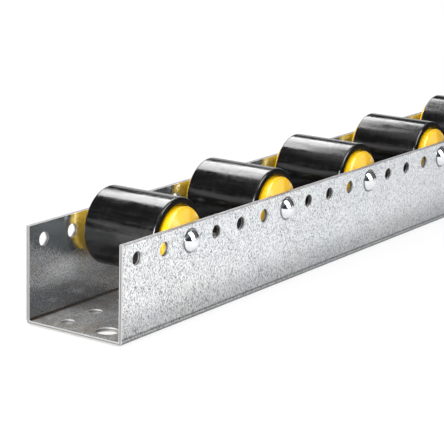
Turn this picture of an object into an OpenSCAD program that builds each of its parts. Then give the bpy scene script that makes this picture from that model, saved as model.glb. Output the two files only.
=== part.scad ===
// Roller track for a carton flow rack: a perforated U channel of galvanised sheet steel with
// free-turning plastic rollers on riveted axles. X runs along the track, Y across it and Z up.
// The origin is the middle of the web's underside.

/* [Channel] */
// Outside width of the channel across its two flanges
channel_w = 70; // [68:1:80]
// Height of the flanges above the underside of the web
channel_h = 59; // [56:1:70]
// Thickness of the sheet
sheet_t = 2.5; // [2:0.25:3]
// Outside radius of the two bends
bend_r = 3.5; // [3.25:0.25:5]
// Distance between neighbouring holes along the track
hole_pitch = 26; // [25:0.5:30]
// Free holes between each end of the track and its outermost axle
end_holes = 2; // [1:1:3]
// Diameter of the axle holes in the flanges
axle_hole_d = 8.5; // [8.2:0.1:9]
// Distance of the axle holes below the top edge of the flanges
axle_hole_drop = 10; // [8:0.5:14]
// Diameter of the bolt holes in the web, in the row by the back flange
web_bolt_d = 8.5; // [6:0.5:11]
// Diameter of the access holes in the web, in the row by the front flange
web_access_d = 14; // [10:0.5:16]
// Distance of both web rows from the middle of the web
web_row_y = 14.5; // [12:0.5:18]

/* [Rollers] */
// Number of rollers
roller_count = 5; // [2:1:5]
// Hole pitches from one roller to the next
roller_step = 4; // [3:1:6]
// Outside diameter of the roller tube
tube_d = 48; // [46:1:50]
// Length of the roller tube
tube_l = 52; // [50:1:53]
// Wall of the roller tube at its ends, around the caps
tube_wall = 3.5; // [3.25:0.25:3.75]
// Diameter of the cap's rounded head
cap_head_d = 38.4; // [37:0.2:39]
// Rounding radius of the cap's head, between its side and its conical face
cap_head_r = 2; // [1.5:0.25:2.5]

/* [Bearings and axles] */
// Diameter of the axle's shank
axle_d = 8; // [7.8:0.1:8]
// Diameter of the axle's round heads
axle_head_d = 14; // [13:0.5:16]
// Height of the axle's round heads
axle_head_h = 4.8; // [4:0.2:5]
// Diameter of the bearing balls
ball_d = 5; // [4.5:0.1:5]
// Number of balls in each bearing
ball_count = 11; // [7:1:11]
// Diameter of the circle through the ball centres
ball_circle_d = 18.8; // [18.6:0.1:19]
// Outside diameter of the outer race
race_d = 28; // [28:0.5:29]
// Width of both races
race_w = 8; // [7:0.5:9]

/* [Hidden] */
$fn = 96;
overshoot = 1;

hole_count = 2 * end_holes + (roller_count - 1) * roller_step + 1;
channel_l = hole_count * hole_pitch;
axle_z = channel_h - axle_hole_drop;
flange_inside = channel_w / 2 - sheet_t;

// Stations measured outward from the roller's middle along its axis, the same to both sides
tube_end = tube_l / 2;
cap_seat = tube_end - 14;
cap_floor = tube_end - 5;
race_start = tube_end - 8;
race_end = race_start + race_w;
ball_plane = race_start + race_w / 2;
rim_centre = tube_end + 1.9;
cap_face = tube_end + 5.9;

tube_bore_r = tube_d / 2 - tube_wall;
tube_edge_r = 1.8;
tube_lead_in = 0.3;
tube_step = 0.5;

cap_hub_r = race_d / 2 + 2.4;
cap_ring_r = tube_bore_r - 2;
cap_web_t = 2.2;
cap_bore_r = 7.1;
cap_face_r = 9.5;
cap_face_slope = 14;
cap_relief_r = race_d / 2 - 1.6;
cap_lead_in = 0.6;
cap_ribs = 8;
cap_rib_t = 1.8;
rim_r = cap_head_d / 2 - cap_head_r;

groove_play = 0.05;
inner_shoulder_r = 8.2;
outer_shoulder_r = 10.6;
race_chamfer = 0.4;
inner_hub_r = 6.5;
inner_bore_r = axle_d / 2 + 0.05;

head_sphere_r = (pow(axle_head_d / 2, 2) + pow(axle_head_h, 2)) / (2 * axle_head_h);

SIDES = ["front", "back"];
ROLLERS = [1 : roller_count];

function hole_x(k) = (k - (hole_count - 1) / 2) * hole_pitch;
function roller_x(n) = hole_x(end_holes + (n - 1) * roller_step);
function arc(centre, r, from, to, steps) =
    [for (i = [0 : steps]) let (a = from + (to - from) * i / steps) centre + r * [cos(a), sin(a)]];

// Puts a shape made around +Z from the roller's middle onto roller n, pointing front (-Y) or back (+Y)
module on_roller(n, side) {
    turn = side == "front" ? 90 : -90;
    translate([roller_x(n), 0, axle_z])
        rotate([turn, 0, 0])
            children();
}

// A U section's outline with its lower corners rounded
module rounded_base(w, h, r) {
    translate([-w / 2, r])
        square([w, h - r]);
    translate([r - w / 2, 0])
        square([w - 2 * r, h]);
    for (x = [r - w / 2, w / 2 - r])
        translate([x, r])
            circle(r);
}

module channel_section() {
    difference() {
        rounded_base(channel_w, channel_h, bend_r);
        translate([0, sheet_t])
            rounded_base(channel_w - 2 * sheet_t, channel_h, bend_r - sheet_t);
    }
}

// One stroke of the punch: an axle hole in each flange and one hole in each row of the web
module punch_set() {
    translate([0, 0, axle_z])
        rotate([90, 0, 0])
            cylinder(h = channel_w + 2 * overshoot, d = axle_hole_d, center = true);
    translate([0, web_row_y, -overshoot])
        cylinder(h = sheet_t + 2 * overshoot, d = web_bolt_d);
    translate([0, -web_row_y, -overshoot])
        cylinder(h = sheet_t + 2 * overshoot, d = web_access_d);
}

module channel() {
    color("silver")
        difference() {
            translate([-channel_l / 2, 0, 0])
                rotate([90, 0, 90])
                    linear_extrude(channel_l)
                        channel_section();
            for (k = [0 : hole_count - 1])
                translate([hole_x(k), 0, 0])
                    punch_set();
        }
}

// Half of the shank and one round head
module axle_half() {
    cylinder(h = channel_w / 2, d = axle_d);
    translate([0, 0, channel_w / 2])
        intersection() {
            translate([0, 0, axle_head_h - head_sphere_r])
                sphere(head_sphere_r);
            cylinder(h = axle_head_h + overshoot, d = axle_head_d + overshoot);
        }
}

module axle(n) {
    color("gainsboro")
        for (side = SIDES)
            on_roller(n, side)
                axle_half();
}

// Tube section from its middle to one end, with a counterbore that seats the cap
tube_half_section = concat(
    [[tube_bore_r - tube_step, 0]],
    [[tube_bore_r - tube_step, cap_seat]],
    [[tube_bore_r, cap_seat]],
    [[tube_bore_r, tube_end - tube_lead_in]],
    [[tube_bore_r + tube_lead_in, tube_end]],
    arc([tube_d / 2 - tube_edge_r, tube_end - tube_edge_r], tube_edge_r, 90, 0, 8),
    [[tube_d / 2, 0]]
);

module roller_tube(n) {
    color([0.08, 0.08, 0.09])
        for (side = SIDES)
            on_roller(n, side)
                rotate_extrude()
                    polygon(tube_half_section);
}

// Cap section: the ring pressed into the tube, the bearing pocket and the conical head
cap_section = concat(
    [[race_d / 2, cap_seat]],
    [[race_d / 2, race_end]],
    [[cap_relief_r, race_end]],
    [[cap_relief_r, cap_face - 2.7]],
    [[cap_bore_r, cap_face - 2.7]],
    [[cap_bore_r, cap_face]],
    [[cap_face_r, cap_face]],
    arc([rim_r, rim_centre], cap_head_r, 90 - cap_face_slope, 0, 10),
    [[cap_head_d / 2, cap_floor]],
    [[tube_bore_r, cap_floor]],
    [[tube_bore_r, cap_seat + cap_lead_in]],
    [[tube_bore_r - cap_lead_in, cap_seat]],
    [[cap_ring_r, cap_seat]],
    [[cap_ring_r, cap_floor - cap_web_t]],
    [[cap_hub_r, cap_floor - cap_web_t]],
    [[cap_hub_r, cap_seat]]
);

module cap(n, side) {
    rib_l = cap_ring_r - cap_hub_r + overshoot;
    rib_h = cap_floor - cap_seat - cap_web_t;
    color("gold")
        on_roller(n, side) {
            rotate_extrude()
                polygon(cap_section);
            for (i = [0 : cap_ribs - 1])
                rotate([0, 0, i * 360 / cap_ribs])
                    translate([cap_hub_r - overshoot / 2, -cap_rib_t / 2, cap_seat + overshoot])
                        cube([rib_l, cap_rib_t, rib_h]);
        }
}

module ball_groove() {
    rotate_extrude()
        translate([ball_circle_d / 2, ball_plane])
            circle(ball_d / 2 + groove_play);
}

outer_race_section = [
    [outer_shoulder_r, race_start],
    [race_d / 2 - race_chamfer, race_start],
    [race_d / 2, race_start + race_chamfer],
    [race_d / 2, race_end - race_chamfer],
    [race_d / 2 - race_chamfer, race_end],
    [outer_shoulder_r, race_end]
];

module outer_race(n, side) {
    color("lightsteelblue")
        on_roller(n, side)
            difference() {
                rotate_extrude()
                    polygon(outer_race_section);
                ball_groove();
            }
}

// The inner race runs on as a hub that rests against the flange
inner_race_section = [
    [inner_bore_r, race_start],
    [inner_shoulder_r, race_start],
    [inner_shoulder_r, race_end],
    [inner_hub_r, race_end],
    [inner_hub_r, flange_inside - race_chamfer],
    [inner_hub_r - race_chamfer, flange_inside],
    [inner_bore_r, flange_inside]
];

module inner_race(n, side) {
    color("lightsteelblue")
        on_roller(n, side)
            difference() {
                rotate_extrude()
                    polygon(inner_race_section);
                ball_groove();
            }
}

module balls(n, side) {
    color("whitesmoke")
        on_roller(n, side)
            for (i = [0 : ball_count - 1])
                rotate([0, 0, i * 360 / ball_count])
                    translate([ball_circle_d / 2, 0, ball_plane])
                        sphere(d = ball_d);
}

channel();
for (n = ROLLERS) {
    axle(n);
    roller_tube(n);
    for (side = SIDES) {
        cap(n, side);
        outer_race(n, side);
        inner_race(n, side);
        balls(n, side);
    }
}
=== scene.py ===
import math

import bpy
from mathutils import Matrix, Vector


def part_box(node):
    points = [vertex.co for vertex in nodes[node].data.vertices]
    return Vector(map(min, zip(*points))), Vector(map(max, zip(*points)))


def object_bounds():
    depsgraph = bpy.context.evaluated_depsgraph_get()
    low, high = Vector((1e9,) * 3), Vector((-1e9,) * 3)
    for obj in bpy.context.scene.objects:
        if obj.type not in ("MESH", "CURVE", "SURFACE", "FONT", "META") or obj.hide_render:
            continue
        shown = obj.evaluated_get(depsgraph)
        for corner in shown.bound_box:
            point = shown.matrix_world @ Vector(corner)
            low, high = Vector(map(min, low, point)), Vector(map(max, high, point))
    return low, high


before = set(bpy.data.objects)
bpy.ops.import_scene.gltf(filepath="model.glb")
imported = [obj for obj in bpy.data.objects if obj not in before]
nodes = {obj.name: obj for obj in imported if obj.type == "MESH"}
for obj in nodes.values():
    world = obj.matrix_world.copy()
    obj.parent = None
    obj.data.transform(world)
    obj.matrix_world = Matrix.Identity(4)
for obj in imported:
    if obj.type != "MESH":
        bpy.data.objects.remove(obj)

cad_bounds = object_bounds()


# Node graphs -----------------------------------------------------------------------------------

WHITE = (1.0, 1.0, 1.0)
MOST_NOISE = (0.3, 0.7)  # the range that holds nearly all values of a noise


class Graph:
    """The node tree of a material or the world, with a short call for each node used here.

    A value is either a socket to link from or a plain number or colour.
    """

    def __init__(self, tree):
        self.tree = tree
        self.output = None
        tree.nodes.clear()

    def node(self, kind, inputs=None, **settings):
        made = self.tree.nodes.new(kind)
        for name, value in settings.items():
            setattr(made, name, value)
        for key, value in (inputs or {}).items():
            self.put(made.inputs[key], value)
        return made

    def put(self, socket, value):
        if isinstance(value, bpy.types.NodeSocket):
            self.tree.links.new(value, socket)
        elif socket.type == "RGBA" and len(value) == 3:
            socket.default_value = (*value, 1)
        else:
            socket.default_value = value

    def show(self, shader, kind="ShaderNodeOutputMaterial"):
        """Makes shader what the material or the world shows."""
        if self.output is None:
            self.output = self.node(kind)
        self.put(self.output.inputs[0], shader.outputs[0])

    # Numbers

    def math(self, operation, a, b=None):
        made = self.node("ShaderNodeMath", {0: a}, operation=operation)
        if b is not None:
            self.put(made.inputs[1], b)
        return made.outputs[0]

    def times(self, a, b):
        return self.math("MULTIPLY", a, b)

    def from_value(self, value, centre):
        """The distance of a value from a fixed one."""
        return self.math("ABSOLUTE", self.math("SUBTRACT", value, centre))

    def from_nearest(self, value, spacing):
        """How far a value is past the nearest multiple of spacing."""
        step = self.math("ROUND", self.math("DIVIDE", value, spacing))
        return self.math("SUBTRACT", value, self.times(step, spacing))

    def length(self, a, b):
        """The length of a line whose two parts are a and b."""
        return self.math("SQRT", self.math("ADD", self.times(a, a), self.times(b, b)))

    def remap(self, value, low, high, to_low=0.0, to_high=1.0, smooth=False):
        """Takes low to to_low and high to to_high, mostly shares or shades from 0 to 1."""
        kind = "SMOOTHSTEP" if smooth else "LINEAR"
        return self.node("ShaderNodeMapRange", {
            "Value": value, "From Min": low, "From Max": high,
            "To Min": to_low, "To Max": to_high}, interpolation_type=kind).outputs[0]

    def blend_value(self, factor, a, b):
        return self.node(
            "ShaderNodeMix", {0: factor, 2: a, 3: b}, data_type="FLOAT").outputs[0]

    # Vectors

    def vector(self, operation, a, b=None, scale=None):
        made = self.node("ShaderNodeVectorMath", {0: a}, operation=operation)
        if b is not None:
            self.put(made.inputs[1], b)
        if scale is not None:
            self.put(made.inputs["Scale"], scale)
        return made.outputs["Value" if operation == "DOT_PRODUCT" else "Vector"]

    def axes(self, vector):
        return self.node("ShaderNodeSeparateXYZ", {0: vector}).outputs

    def object_coordinates(self, scale=(1, 1, 1)):
        place = self.node("ShaderNodeTexCoord").outputs["Object"]
        return self.node("ShaderNodeMapping", {"Vector": place, "Scale": scale}).outputs[0]

    def normal(self):
        return self.node("ShaderNodeNewGeometry").outputs["Normal"]

    def leaned(self, normal, lean):
        """A normal leaned over by a vector."""
        return self.vector("NORMALIZE", self.vector("ADD", normal, lean))

    def bump(self, height, strength, distance=0.0001, normal=None):
        made = self.node(
            "ShaderNodeBump", {"Height": height, "Strength": strength, "Distance": distance})
        if normal is not None:
            self.put(made.inputs["Normal"], normal)
        return made.outputs[0]

    # Colours and textures

    def mix(self, factor, a, b, blend="MIX"):
        return self.node(
            "ShaderNodeMix", {0: factor, 6: a, 7: b}, data_type="RGBA", blend_type=blend).outputs[2]

    def tinted(self, colour, tint):
        return self.mix(1.0, colour, tint, blend="MULTIPLY")

    def grey(self, value):
        return self.node("ShaderNodeCombineColor", {0: value, 1: value, 2: value}).outputs[0]

    def channels(self, colour):
        return self.node("ShaderNodeSeparateColor", {0: colour}).outputs

    def noise(self, vector, scale, detail=2.0, roughness=0.5, distortion=0.0):
        return self.node("ShaderNodeTexNoise", {
            "Vector": vector, "Scale": scale, "Detail": detail,
            "Roughness": roughness, "Distortion": distortion}).outputs["Fac"]

    def cells(self, vector, scale):
        """A random colour for each cell of a Voronoi texture."""
        return self.node("ShaderNodeTexVoronoi", {
            "Vector": vector, "Scale": scale}, feature="F1").outputs["Color"]


def surface(name, **inputs):
    """A material with one Principled shader; returns it with its graph and the shader."""
    made = bpy.data.materials.new(name)
    made.use_nodes = True
    graph = Graph(made.node_tree)
    shader = graph.node("ShaderNodeBsdfPrincipled")
    for key, value in inputs.items():
        graph.put(shader.inputs[key.replace("_", " ")], value)
    graph.show(shader)
    return made, graph, shader


def lowest(name):
    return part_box(name)[0]


def highest(name):
    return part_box(name)[1]


def middle(name):
    return (lowest(name) + highest(name)) / 2


# Galvanised sheet ------------------------------------------------------------------------------

# Places on the channel, in metres; a pair is where a change begins and where it is complete
SHEET_T = 0.0025
OUTER_SKIN = 0.0008  # a point no deeper than this is on the outside of a flange
HAIR = 0.00003  # what tells a cut face from the faces beside it
WEB_TOP = 0.0027  # just above the web's upper face
WEB_HOLE_TOP = 0.004  # below this, the wall of a hole is in the web
WEB_ROW_Y = 0.0145
HOLE_R = 0.00428  # just over the radius of an axle hole or a bolt hole
ACCESS_HOLE_R = 0.00703  # just over the radius of an access hole
LEFT_END, RIGHT_END = -0.27, 0.27
# Painted shade at the foot of the inner walls is deepest at the left end and eases off until here
LOWER_WALL_SHADE_UNTIL = -0.215
BLOOM_FROM = -0.232
# The heights over which the painted shade at the foot of the inner walls fades out
WALL_FOOT = 0.011, 0.030
WALL_TOP = 0.030, 0.046
BLOOM_BOTTOM = 0.015, 0.027
BLOOM_TOP = 0.038, 0.028
# Painted shade in the inside bends, out to these distances from the corner
BEND_SHADE_REACH = 0.0010, 0.0016
# Painted shade on the outside of the bends, darkest at the bottom
BEND_UNDERSIDE_SHADE = 0.0014, 0.0026
# A dark line runs along the outer faces at this height, just above the bend
BEND_LINE_Z = 0.0041
BEND_LINE_WIDTH = 0.0003, 0.0008  # above and below it
# Painted shade: the outer faces darken towards the bend, as a reflection of the floor's shadow
LOWER_FLANGE_SHADE = 0.0035, 0.026
# A painted shadow ring on the flange around each axle head
HEAD_SHADOW_RING = 0.0071, 0.0082  # around an axle
SHEAR_LINE_DEPTH = 0.0014
SHEAR_LINE = 0.0002, 0.0006  # to both sides of it
BURNISHED_DEPTH = 0.0011, 0.0014
BURNISHED_Z = 0.0012, 0.0015
FLANGE_HOLE_DEPTH = 0.0006, 0.0012
END_FOOT = 0.002, 0.004
RIM_DEPTH = 0.0005
PITCHES_PER_ROLLER = 4

# Texture scales, per metre
CRYSTALS = 1150
GRAINS = 1900
CLOUDS = 55
STAINS = 34
BLOTCHES = 60
DRIFTS = 22
TEARS = 2400
ALONG_THE_GRAIN = (1.15, 1.15, 0.52)

# Noise values between which the zinc changes
SPECK_EDGE = 0.345, 0.525
STAIN_EDGE = 0.36, 0.64
BLOTCH_EDGE = 0.42, 0.60
DRIFT_EDGE = 0.35, 0.65

# Colours of the zinc
OUTER_ZINC = (0.890, 0.910, 0.930), (0.915, 0.917, 0.915)
# Painted shade: the outer faces of the flanges darken from the left end to the right
OUTER_SHADE_ALONG = (0.99, 0.99, 0.98), (0.76, 0.775, 0.79)  # at the left and the right end
SPECK = (0.11, 0.124, 0.138), (0.36, 0.375, 0.39)  # at the left and the right end
INNER_ZINC = (0.88, 0.91, 0.95), (0.98, 0.945, 0.895)
# A painted cool cast of reflected light on the upper parts of the inner walls
UPPER_WALL_REFLECTION_TINT = (0.95, 1.05, 1.10)
WEB_STAINS = (0.68, 0.63, 0.58), (0.90, 0.90, 0.90)
INNER_CONTRAST = 1.5  # the power that deepens the specks inside the channel
# The colour of the painted shade in the inside bends
BEND_SHADE_COLOUR = (0.34, 0.29, 0.25)

# Colours of the cut faces
CUT = (0.19, 0.18, 0.17), (0.57, 0.564, 0.557)  # on the line, and beside it
TOP_EDGE = (0.95, 0.94, 0.95)
# A painted shade line along the outer edge of the flanges' top faces
TOP_EDGE_SHADE_LINE = (0.34, 0.32, 0.36)

# Finish of the zinc
CRYSTAL_ROUGHNESS = 0.08, 0.16
OUTSIDE_ROUGHER = 0.04
CUT_ROUGHNESS = 0.48
LEAN_INSIDE = 0.07
LEAN_OUTSIDE = 0.13
LEAN_CUT = 0.02
GRAIN_RELIEF = 0.25

# The dull bloom on the zinc, and its share of each face
BLOOM_METALLIC = 0.42
BLOOM_ROUGHNESS = 0.60
BLOOM_FRONT_WALL = 0.80
BLOOM_BACK_WALL = 0.08  # above and below its band
BLOOM_LEVEL = 0.58
BLOOM_CUT = 0.6
LEVEL = 0.7  # a face whose normal rises or falls more steeply than this is level


class ChannelPoint:
    """Where a point of the channel is, as the sockets that the steps of its material share."""

    def __init__(self, g):
        high = highest("channel")
        axle = middle("axle_1")
        roller_spacing = middle("axle_2").x - axle.x

        self.place = g.object_coordinates()
        self.along, self.across, self.above = g.axes(self.place)
        self.depth = g.math("SUBTRACT", high.y, g.math("ABSOLUTE", self.across))
        self.top = high.z
        self.outside = g.math("LESS_THAN", self.depth, OUTER_SKIN)
        self.on_wall = g.math("GREATER_THAN", self.above, WEB_TOP)
        self.rightward = g.remap(self.along, LEFT_END, RIGHT_END)

        # Holes: at each pitch, one in each flange and two in the web
        past_hole = g.from_nearest(self.along, roller_spacing / PITCHES_PER_ROLLER)
        above_axle = g.math("SUBTRACT", self.above, axle.z)
        from_flange_hole = g.length(past_hole, above_axle)
        from_bolt_hole = g.length(past_hole, g.math("SUBTRACT", self.across, WEB_ROW_Y))
        from_access_hole = g.length(past_hole, g.math("ADD", self.across, WEB_ROW_Y))
        in_web_hole = g.math(
            "MAXIMUM",
            g.math("LESS_THAN", from_bolt_hole, HOLE_R),
            g.math("LESS_THAN", from_access_hole, ACCESS_HOLE_R))
        in_web_hole = g.times(in_web_hole, g.math("LESS_THAN", self.above, WEB_HOLE_TOP))
        self.in_flange_hole = g.math("LESS_THAN", from_flange_hole, HOLE_R)
        self.in_hole = g.math("MAXIMUM", self.in_flange_hole, in_web_hole)
        self.from_axle = g.length(g.from_nearest(self.along, roller_spacing), above_axle)

        # Cut faces: the two ends, the top edges and the walls of the holes
        self.at_end = g.math("GREATER_THAN", g.math("ABSOLUTE", self.along), high.x - HAIR)
        self.at_top = g.math("GREATER_THAN", self.above, high.z - HAIR)
        self.cut = g.math(
            "MAXIMUM", g.math("MAXIMUM", self.at_end, self.at_top), self.in_hole)


def zinc_colour(g, point, crystal, grain, cloud, stain):
    """Bright crystals with dark specks between them, gathered in clouds."""
    gathered = g.math("ADD", grain, g.remap(cloud, *MOST_NOISE, -0.02, 0.02))
    bright = g.remap(gathered, *SPECK_EDGE, smooth=True)
    bright = g.times(bright, g.remap(g.channels(crystal)[0], 0, 1, 0.76, 1.0))
    bright = g.times(bright, g.remap(cloud, *MOST_NOISE, 0.96, 1.0))
    bright = g.blend_value(point.outside, g.math("POWER", bright, INNER_CONTRAST), bright)

    drift = g.remap(g.noise(point.place, DRIFTS, detail=2), *DRIFT_EDGE)
    # The outer zinc, with painted shade darkening it towards the right end
    outer = g.tinted(g.mix(drift, *OUTER_ZINC), g.mix(point.rightward, *OUTER_SHADE_ALONG))

    # Painted light on the inner walls: a cool cast of reflection high up
    upper = g.mix(g.remap(point.above, *WALL_TOP, smooth=True), WHITE, UPPER_WALL_REFLECTION_TINT)
    # Painted shade towards the foot of the inner walls, deepest at the left end
    handled = g.remap(point.along, LEFT_END, LOWER_WALL_SHADE_UNTIL, 0.42, 0.88)
    lower = g.remap(point.above, *WALL_FOOT, handled, 1.0, smooth=True)
    wall_shade = g.tinted(upper, g.grey(lower))
    blotch = g.noise(point.place, BLOTCHES, detail=5, roughness=0.6, distortion=0.8)
    web_shade = g.mix(g.remap(blotch, *BLOTCH_EDGE, smooth=True), *WEB_STAINS)
    inner = g.mix(g.remap(stain, *STAIN_EDGE), *INNER_ZINC)
    inner = g.tinted(inner, g.mix(point.on_wall, web_shade, wall_shade))

    light = g.mix(point.outside, inner, outer)
    return g.mix(bright, g.mix(point.rightward, *SPECK), light)


def bend_and_flange_shading(g, point):
    """Painted shade in the inside bends, and on the outside a dark line above the bend with painted
    shade and shadows.
    """
    # Painted shade darkens the inside bends
    inside_bend = g.length(
        g.math("SUBTRACT", point.depth, SHEET_T), g.math("SUBTRACT", point.above, SHEET_T))
    bend_shade = g.mix(g.remap(inside_bend, *BEND_SHADE_REACH, smooth=True), BEND_SHADE_COLOUR, WHITE)

    # A dark line just above the outer bend
    from_line = g.from_value(point.above, BEND_LINE_Z)
    line = g.remap(from_line, *BEND_LINE_WIDTH, 0.48, 1.0, smooth=True)
    # Painted shade on the outer bend, which faces down towards the floor
    bend_underside_shade = g.remap(point.above, *BEND_UNDERSIDE_SHADE, 0.42, 0.90, smooth=True)
    bend_underside_shade = g.blend_value(g.math("LESS_THAN", point.above, BEND_LINE_Z), 1.0, bend_underside_shade)
    # Painted shade in a thin line just under the top edge of the outer faces
    top_shade_line = g.remap(point.above, point.top - 0.0007, point.top - 0.0004, 1.0, 0.62)
    # Painted reflection of the shadowed floor: the outer faces darken towards their foot
    lower_flange_shade = g.remap(point.above, *LOWER_FLANGE_SHADE, 0.63, 1.0, smooth=True)
    # A painted shadow ring around each axle head
    head_shadow = g.remap(point.from_axle, *HEAD_SHADOW_RING, 0.30, 1.0, smooth=True)
    outer = g.times(g.times(line, g.times(bend_underside_shade, top_shade_line)), lower_flange_shade)
    outer = g.mix(point.outside, WHITE, g.grey(g.times(outer, head_shadow)))
    return bend_shade, outer


def cut_colour(g, point):
    """A cut face: smooth near the punch's side and torn on the other, with a line between."""
    from_line = g.from_value(g.math("MINIMUM", point.depth, point.above), SHEAR_LINE_DEPTH)
    line = g.remap(from_line, *SHEAR_LINE, 0.15, 1.0, smooth=True)
    torn = g.remap(g.noise(point.place, TEARS, detail=3), *MOST_NOISE, 0.90, 1.0)

    burnished = g.math(
        "MAXIMUM",
        g.remap(point.depth, *BURNISHED_DEPTH, 1.0, 0.0),
        g.remap(point.above, *BURNISHED_Z))
    shade = g.blend_value(point.in_hole, 1.0, g.remap(burnished, 0, 1, 0.62, 1.0))
    in_flange = g.remap(point.depth, *FLANGE_HOLE_DEPTH, 0.85, 0.42)
    shade = g.blend_value(point.in_flange_hole, shade, in_flange)
    end_shade = g.remap(point.above, *END_FOOT, 0.70, 0.57)
    shade = g.times(shade, g.remap(point.at_end, 0, 1, 1.0, end_shade))

    # A painted shade line along the outer edge of each top face
    rim_shade = g.times(point.at_top, g.math("LESS_THAN", point.depth, RIM_DEPTH))
    top_tint = g.mix(point.at_top, WHITE, g.mix(rim_shade, TOP_EDGE, TOP_EDGE_SHADE_LINE))
    return g.tinted(g.mix(g.times(line, torn), *CUT), g.tinted(top_tint, g.grey(shade)))


def bloom_share(g, point, normal, cloud, stain):
    """How much of the surface is covered by the zinc's thin dull bloom."""
    wavering = g.math("ADD", point.above, g.remap(stain, *MOST_NOISE, -0.002, 0.002))
    band = g.times(
        g.remap(wavering, *BLOOM_BOTTOM, smooth=True), g.remap(wavering, *BLOOM_TOP, smooth=True))
    in_band = g.remap(point.along, LEFT_END, BLOOM_FROM, 0.14, 1.0, smooth=True)
    back_wall = g.remap(band, 0, 1, BLOOM_BACK_WALL, in_band)
    on_back = g.math("GREATER_THAN", point.across, 0.0)
    wall = g.blend_value(on_back, BLOOM_FRONT_WALL, back_wall)
    level = g.math("GREATER_THAN", g.math("ABSOLUTE", g.axes(normal)[2]), LEVEL)
    inner = g.blend_value(level, wall, BLOOM_LEVEL)
    inner = g.math("ADD", g.remap(cloud, *MOST_NOISE, 0.04, -0.04), inner)
    outer = g.remap(cloud, *MOST_NOISE, 0.49, 0.41)
    return g.blend_value(point.cut, g.blend_value(point.outside, inner, outer), BLOOM_CUT)


def galvanised_sheet():
    made, g, shader = surface("galvanised_sheet", Metallic=0.95)
    point = ChannelPoint(g)
    upright = g.object_coordinates(ALONG_THE_GRAIN)
    crystal = g.cells(upright, CRYSTALS)
    grain = g.noise(upright, GRAINS, detail=2, roughness=0.6)
    cloud = g.noise(point.place, CLOUDS, detail=4, roughness=0.6)
    stain = g.noise(point.place, STAINS, detail=4, roughness=0.55, distortion=0.4)

    sheet = zinc_colour(g, point, crystal, grain, cloud, stain)
    # Darken the sheet with the painted shade in the bends and on the outer faces
    for marks in bend_and_flange_shading(g, point):
        sheet = g.tinted(sheet, marks)
    colour = g.mix(point.cut, sheet, cut_colour(g, point))

    # Each crystal leans its own way and has its own polish
    normal = g.normal()
    how_far = g.remap(point.outside, 0, 1, LEAN_INSIDE, LEAN_OUTSIDE)
    how_far = g.blend_value(point.cut, how_far, LEAN_CUT)
    lean = g.vector("SCALE", g.vector("SUBTRACT", crystal, (0.5, 0.5, 0.5)), scale=how_far)
    relief = g.bump(grain, GRAIN_RELIEF, normal=g.leaned(normal, lean))
    polish = g.remap(g.channels(crystal)[1], 0, 1, *CRYSTAL_ROUGHNESS)
    polish = g.math("ADD", polish, g.times(point.outside, OUTSIDE_ROUGHER))
    g.put(shader.inputs["Roughness"], g.blend_value(point.cut, polish, CUT_ROUGHNESS))

    # The same zinc seen through its thin dull bloom, which scatters light widely
    bloom = g.node("ShaderNodeBsdfPrincipled", {
        "Metallic": BLOOM_METALLIC, "Roughness": BLOOM_ROUGHNESS})
    for each in (shader, bloom):
        g.put(each.inputs["Base Color"], colour)
        g.put(each.inputs["Specular Tint"], g.mix(0.5, colour, WHITE))
        g.put(each.inputs["Normal"], relief)
    share = bloom_share(g, point, normal, cloud, stain)
    g.show(g.node("ShaderNodeMixShader", {0: share, 1: shader.outputs[0], 2: bloom.outputs[0]}))
    return made


# Rollers, axles and bearings -------------------------------------------------------------------

ROLLER_BLACK = (0.0018, 0.0016, 0.0016), (0.0046, 0.0042, 0.0041)
ROLLER_MARKS = (0.048, 0.046, 0.045)
ROLLER_GLOSS = 0.05, 0.26
SAWN_ROUGHNESS = 0.55
SAWN_SPECULAR = 0.05
CAP_YELLOW = (0.83, 0.465, 0.004), (0.87, 0.505, 0.006)
CROWN_R = 0.0094, 0.0100  # where the cap's flat face turns into its crown, in metres
CROWN_LEAN = 0.28
ZINC_PLATE = (0.68, 0.705, 0.72), (0.87, 0.88, 0.88)
RACE_STEEL = (0.50, 0.50, 0.50), (0.62, 0.62, 0.61)
BALL_STEEL = (0.72, 0.72, 0.72), (0.80, 0.80, 0.80)


def roller_plastic():
    made, g, shader = surface("roller_plastic", IOR=1.55)
    turned = g.noise(g.object_coordinates((1.0, 0.12, 1.0)), 420, detail=4, roughness=0.65)
    handled = g.noise(
        g.object_coordinates((0.35, 1.0, 0.35)), 260, detail=5, roughness=0.7, distortion=0.6)
    worn = g.math("ADD", g.times(turned, 0.6), g.times(handled, 0.4))
    dust = g.remap(g.noise(g.object_coordinates(), 1700, detail=2), 0.66, 0.74, smooth=True)
    marks = g.math("MAXIMUM", g.times(dust, 0.45), g.remap(handled, 0.57, 0.68, 0.0, 0.09))
    g.put(shader.inputs["Base Color"], g.mix(marks, g.mix(worn, *ROLLER_BLACK), ROLLER_MARKS))

    # The sawn ends are dull, and the rounded edges around them catch the light
    facing = g.math("ABSOLUTE", g.axes(g.normal())[1])
    sawn = g.remap(facing, 0.64, 0.74, smooth=True)
    gloss = g.remap(worn, 0.35, 0.62, *ROLLER_GLOSS)
    edge = g.remap(facing, 0.25, 0.45, 0.5, 1.0, smooth=True)
    g.put(shader.inputs["Roughness"], g.blend_value(sawn, gloss, SAWN_ROUGHNESS))
    g.put(shader.inputs["Specular IOR Level"], g.blend_value(sawn, edge, SAWN_SPECULAR))
    g.put(shader.inputs["Normal"], g.bump(worn, 0.42))
    return made


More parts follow.
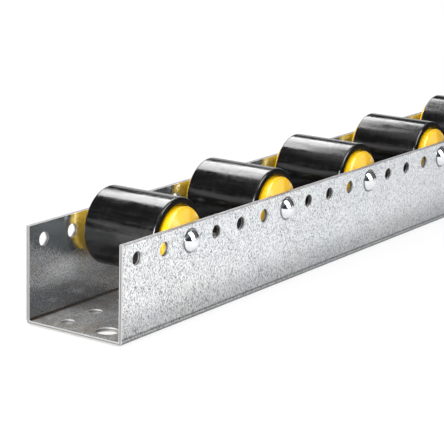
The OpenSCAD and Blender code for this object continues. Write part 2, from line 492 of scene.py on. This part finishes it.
def cap_plastic():
    made, g, shader = surface(
        "cap_plastic", IOR=1.5, Coat_Weight=1.0, Coat_Roughness=0.06, Coat_IOR=1.7)
    place = g.object_coordinates()
    grain = g.noise(place, 2600, detail=2)
    g.put(shader.inputs["Base Color"], g.mix(g.noise(place, 90, detail=3), *CAP_YELLOW))
    g.put(shader.inputs["Roughness"], g.remap(grain, *MOST_NOISE, 0.10, 0.17))

    # The crown is shaded a little steeper than it is
    along, _, above = g.axes(place)
    beside = g.from_nearest(along, middle("roller_2_tube").x - middle("roller_1_tube").x)
    upward = g.math("SUBTRACT", above, middle("axle_1").z)
    outward = g.node("ShaderNodeCombineXYZ", {0: beside, 1: 0.0, 2: upward}).outputs[0]
    normal = g.normal()
    facing = g.math("ABSOLUTE", g.axes(normal)[1])
    crown = g.times(
        g.remap(g.length(beside, upward), *CROWN_R), g.remap(facing, 0.55, 0.90))
    lean = g.vector(
        "SCALE", g.vector("NORMALIZE", outward), scale=g.times(crown, CROWN_LEAN))
    g.put(shader.inputs["Normal"], g.bump(grain, 0.05, normal=g.leaned(normal, lean)))
    return made


def plated_axle():
    made, g, shader = surface("plated_axle", Metallic=1.0)
    place = g.object_coordinates()
    cloud = g.noise(place, 240, detail=4, roughness=0.6)
    marks = g.noise(g.object_coordinates((1.0, 0.15, 1.0)), 1500, detail=3)
    flange = highest("channel").y
    out = g.math("ABSOLUTE", g.axes(place)[1])
    # Painted contact shadow: a dark line where each head meets the flange
    head_contact_shadow = g.grey(g.remap(out, flange + 0.0001, flange + 0.0009, 0.22, 1.0, smooth=True))
    head_contact_shadow = g.mix(g.math("GREATER_THAN", out, flange), WHITE, head_contact_shadow)
    g.put(shader.inputs["Base Color"], g.tinted(g.mix(cloud, *ZINC_PLATE), head_contact_shadow))
    g.put(shader.inputs["Roughness"], g.remap(g.times(cloud, marks), 0.1, 0.45, 0.05, 0.16))
    g.put(shader.inputs["Normal"], g.bump(marks, 0.06))
    return made


def bearing_steel():
    made, g, shader = surface("bearing_steel", Metallic=1.0)
    turned = g.noise(g.object_coordinates((1.0, 10.0, 1.0)), 220, detail=3)
    cloud = g.noise(g.object_coordinates(), 150, detail=2)
    g.put(shader.inputs["Base Color"], g.mix(cloud, *RACE_STEEL))
    g.put(shader.inputs["Roughness"], g.remap(turned, *MOST_NOISE, 0.18, 0.34))
    g.put(shader.inputs["Normal"], g.bump(turned, 0.10))
    return made


def ball_steel():
    made, g, shader = surface("ball_steel", Metallic=1.0)
    cloud = g.noise(g.object_coordinates(), 900, detail=2)
    g.put(shader.inputs["Base Color"], g.mix(cloud, *BALL_STEEL))
    g.put(shader.inputs["Roughness"], g.remap(cloud, *MOST_NOISE, 0.05, 0.10))
    return made


def slot_of(name):
    if name == "channel":
        return "galvanised_sheet"
    if name.startswith("axle"):
        return "plated_axle"
    if name.endswith("tube"):
        return "roller_plastic"
    if name.endswith("cap"):
        return "cap_plastic"
    if name.endswith("race"):
        return "bearing_steel"
    return "ball_steel"


FINISHES = {
    "galvanised_sheet": galvanised_sheet(),
    "roller_plastic": roller_plastic(),
    "cap_plastic": cap_plastic(),
    "plated_axle": plated_axle(),
    "bearing_steel": bearing_steel(),
    "ball_steel": ball_steel(),
}
for name, node in nodes.items():
    for slot in node.material_slots:
        slot.material = FINISHES[slot_of(name)]


# Camera ----------------------------------------------------------------------------------------

CAMERA_AZIMUTH, CAMERA_ELEVATION, CAMERA_ROLL = -55.93, 14.05, 1.5  # degrees
CAMERA_PLACE = (-1.02735, -0.61055, 0.31104)
CAMERA_LENS, CAMERA_SENSOR = 144.14, 36


def aim(back, roll=0.0):
    """The rotation of something that looks along -back with Z up, rolled about that line."""
    back = back.normalized()
    right = Vector((0, 0, 1)).cross(back).normalized()
    up = back.cross(right)
    turned_right = right * math.cos(roll) + up * math.sin(roll)
    turned_up = up * math.cos(roll) - right * math.sin(roll)
    return Matrix((turned_right, turned_up, back)).transposed().to_4x4()


def add_camera():
    """A camera at the photograph's viewing angle."""
    azimuth, elevation = math.radians(CAMERA_AZIMUTH), math.radians(CAMERA_ELEVATION)
    back = Vector((
        math.sin(azimuth) * math.cos(elevation),
        -math.cos(azimuth) * math.cos(elevation),
        math.sin(elevation)))
    data = bpy.data.cameras.new("camera")
    data.sensor_width = CAMERA_SENSOR
    data.lens = CAMERA_LENS
    data.clip_start = 0.01
    data.clip_end = 50
    camera = bpy.data.objects.new("camera", data)
    camera.matrix_world = (
        Matrix.Translation(CAMERA_PLACE) @ aim(back, math.radians(CAMERA_ROLL)))
    bpy.context.scene.collection.objects.link(camera)
    bpy.context.scene.camera = camera


# Studio ----------------------------------------------------------------------------------------

FLOOR_REACH = 8.0
FLOOR_GAP = 0.0002  # below the part
FLOOR_GREY = (0.84, 0.84, 0.84)
BACKDROP = (0.97, 0.97, 0.97)
CEILING_FRONT, CEILING_BACK = (0.20, 0.225, 0.26), (0.07, 0.077, 0.087)
REFLECTOR = (0.16, 0.16, 0.155)
CAMERA_SIDE = (0.035, 0.045, 0.055)
RIGHT_SIDE = (0.07, 0.07, 0.075)


def add_floor():
    """A pale floor that takes the part's shadow and runs out to white, seen dimmer in mirrors."""
    mesh = bpy.data.meshes.new("floor")
    z = cad_bounds[0].z - FLOOR_GAP
    sides = ((-1, -1), (1, -1), (1, 1), (-1, 1))
    corners = [(x * FLOOR_REACH, y * FLOOR_REACH, z) for x, y in sides]
    mesh.from_pydata(corners, [], [(0, 1, 2, 3)])
    floor = bpy.data.objects.new("floor", mesh)
    bpy.context.scene.collection.objects.link(floor)

    made = bpy.data.materials.new("floor")
    made.use_nodes = True
    g = Graph(made.node_tree)
    rays = g.node("ShaderNodeLightPath").outputs
    along, across, _ = g.axes(g.object_coordinates())
    outward = g.length(along, across)
    seen = g.times(
        rays["Is Camera Ray"], g.remap(outward, 0.35, 0.90, 0.82, 1.0, smooth=True))
    mirrored = g.math("MAXIMUM", rays["Is Glossy Ray"], rays["Is Transmission Ray"])
    mirrored = g.times(mirrored, g.remap(outward, 0.30, 0.60, 0.45, 0.10, smooth=True))
    matt = g.node("ShaderNodeBsdfDiffuse", {"Color": FLOOR_GREY})
    bright = g.node("ShaderNodeEmission", {"Color": WHITE, "Strength": 1.0})
    g.show(g.node("ShaderNodeMixShader", {
        0: g.math("MAXIMUM", seen, mirrored), 1: matt.outputs[0], 2: bright.outputs[0]}))
    mesh.materials.append(made)


def add_world():
    """White to the camera; elsewhere a studio with a white backdrop and darker sides."""
    world = bpy.data.worlds.new("world")
    bpy.context.scene.world = world
    world.use_nodes = True
    g = Graph(world.node_tree)
    rays = g.node("ShaderNodeLightPath").outputs
    direction = g.node("ShaderNodeTexCoord").outputs["Generated"]
    _, backward, upward = g.axes(direction)

    def towards(place, low, high):
        """1 near a direction, falling to 0 away from it; low and high are cosines."""
        near = g.vector("DOT_PRODUCT", direction, Vector(place).normalized())
        return g.remap(near, low, high, smooth=True)

    behind = g.remap(backward, -0.25, 0.25, smooth=True)
    skyline = g.math("SUBTRACT", upward, g.remap(behind, 0, 1, 0.10, 0.27))
    backdrop = g.remap(skyline, 0.0, 0.07, 1.0, 0.0, smooth=True)
    around = g.mix(behind, CEILING_FRONT, CEILING_BACK)
    around = g.mix(towards((0.62, -0.66, 0.42), 0.30, 0.85), around, REFLECTOR)
    around = g.mix(backdrop, around, BACKDROP)
    around = g.mix(towards((-0.60, -0.78, 0.10), 0.82, 0.92), around, CAMERA_SIDE)
    around = g.mix(towards((1.0, -0.10, 0.08), 0.88, 0.95), around, RIGHT_SIDE)
    colour = g.mix(rays["Is Camera Ray"], around, WHITE)
    background = g.node("ShaderNodeBackground", {"Color": colour, "Strength": 1.0})
    g.show(background, "ShaderNodeOutputWorld")


def add_softbox(name, centre, towards, width, height, radiance):
    """A rectangular area light of a given radiance, which the camera doesn't see."""
    data = bpy.data.lights.new(name, "AREA")
    data.shape = "RECTANGLE"
    data.size = width
    data.size_y = height
    data.energy = radiance * math.pi * width * height
    light = bpy.data.objects.new(name, data)
    light.matrix_world = Matrix.Translation(centre) @ aim(Vector(centre) - Vector(towards))
    light.visible_camera = False
    bpy.context.scene.collection.objects.link(light)


LEFT_END_OF_TRACK = (-0.25, 0.0, 0.03)
SOFTBOXES = (
    # Name, centre, what it faces, width, height and radiance. The first faces straight down but
    # for a hair, because aim() has no answer for exactly straight down.
    ("softbox_back", (0.325, 0.54, 0.75), (0.325, 0.5399, 0.0), 0.85, 0.28, 9.0),
    ("softbox_front", (-0.09, -0.81, 0.71), (-0.09, 0.0, 0.0), 0.70, 1.40, 4.0),
    ("softbox_top", (0.0, 0.33, 1.30), (0.0, 0.25, 0.0), 2.60, 0.85, 0.8),
    ("softbox_left", (-1.36, -0.20, 0.42), LEFT_END_OF_TRACK, 0.35, 0.7, 9.0),
    ("softbox_along", (-1.34, 0.00, 0.34), LEFT_END_OF_TRACK, 0.09, 0.55, 34.0),
    ("softbox_end", (-1.34, 0.27, 0.36), LEFT_END_OF_TRACK, 0.35, 0.7, 16.0),
)

add_camera()
add_floor()
add_world()
for softbox in SOFTBOXES:
    add_softbox(*softbox)

bpy.context.scene.view_settings.view_transform = "Standard"
